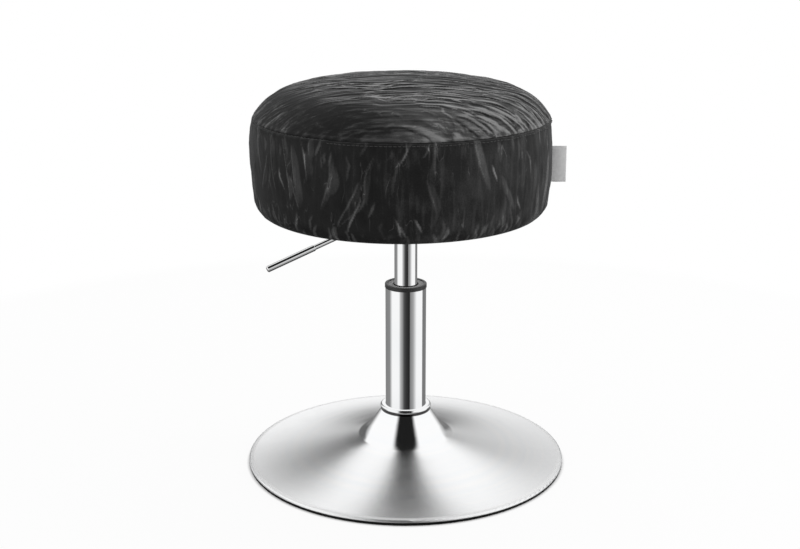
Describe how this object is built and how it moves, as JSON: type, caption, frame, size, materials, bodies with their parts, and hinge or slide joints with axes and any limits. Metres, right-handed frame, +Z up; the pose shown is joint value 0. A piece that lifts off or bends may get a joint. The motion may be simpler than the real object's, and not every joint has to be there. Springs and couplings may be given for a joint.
{
  "type": "swivel vanity stool",
  "caption": "Round crushed-velvet stool seat on a chrome gas lift with a height lever, standing on a flared trumpet base; it swivels and rises.",
  "frame": {"origin": "on the floor, on the column's axis", "axes": "+Z up the column; +Y away from the front; the height lever points to -X and 25 degrees forward of it"},
  "size_m": [0.395, 0.395, 0.4835],
  "materials": {
    "satin_chrome": "satin chrome plate",
    "polished_chrome": "bright chrome plate",
    "black_plastic": "moulded, semi-matt",
    "black_rubber": "matt",
    "bare_steel": "turned or ground",
    "zinc_steel": "zinc plated",
    "black_steel": "black powder coat",
    "brass": "turned",
    "aluminium": "turned",
    "ballast": "cast concrete",
    "plywood": "sanded plywood",
    "foam": "open-cell foam",
    "velvet": "crushed velvet",
    "dust_cloth": "non-woven cloth",
    "grey_tape": "woven satin tape"
  },
  "bodies": {
    "base": {"floor_ring": "black_rubber", "base_plate": "zinc_steel", "trumpet_shell": "satin_chrome", "base_hub": "bare_steel", "ballast_ring": "ballast", "neck_ring": "polished_chrome", "outer_tube": "polished_chrome", "tube_end_plate": "bare_steel", "bearing_lower_race": "bare_steel", "guide_sleeve": "black_plastic", "tube_cap": "black_plastic", "wiper_ring": "black_rubber"},
    "lift_rod": {"piston_rod": "bare_steel", "piston": "aluminium", "piston_seal": "black_rubber", "bearing_upper_race": "bare_steel", "bump_stop": "black_rubber", "clip_washer": "bare_steel", "rod_clip": "bare_steel"},
    "bearing_cage": {"bearing_cage": "black_plastic", "bearing_balls": "bare_steel"},
    "seat": {"gas_cylinder": "polished_chrome", "rod_guide": "black_plastic", "rod_seal": "black_rubber", "valve_body": "brass", "taper_socket": "black_steel", "seat_plate": "black_steel", "lever_bracket": "black_steel", "lever_pivot_pin": "bare_steel", "seat_board": "plywood", "tee_nuts": "zinc_steel", "seat_bolts": "zinc_steel", "bolt_washers": "zinc_steel", "seat_foam": "foam", "cover_top_panel": "velvet", "cover_side_band": "velvet", "dust_cover": "dust_cloth", "side_label": "grey_tape"},
    "lever": {"lever_rod": "polished_chrome", "lever_grip": "polished_chrome"},
    "release_pin": {"release_pin": "bare_steel"}
  },
  "joints": [
    {"name": "seat_swivel", "type": "hinge", "parent": "base", "child": "lift_rod", "pos_m": [0, 0, 0.026], "axis": [0, 0, 1], "continuous": true},
    {"name": "height_lift", "type": "slide", "parent": "lift_rod", "child": "seat", "axis": [0, 0, 1], "range_m": [-0.05, 0.07]},
    {"name": "lever_lift", "type": "hinge", "parent": "seat", "child": "lever", "pos_m": [-0.02356, -0.01099, 0.3128], "axis": [-0.4226, 0.9063, 0], "range_deg": [0, 7], "stiffness_Nm_per_rad": 1.5, "springref_deg": -8.59},
    {"name": "pin_press", "type": "slide", "parent": "seat", "child": "release_pin", "axis": [0, 0, 1], "range_m": [-0.0035, 0]},
    {"name": "bearing_roll", "type": "hinge", "parent": "base", "child": "bearing_cage", "pos_m": [0, 0, 0.0215], "axis": [0, 0, 1], "continuous": true}
  ],
  "couplings": [
    {"joint": "pin_press", "follows": "lever_lift", "m_per_rad": -0.026},
    {"joint": "bearing_roll", "follows": "seat_swivel", "ratio": 0.5}
  ]
}
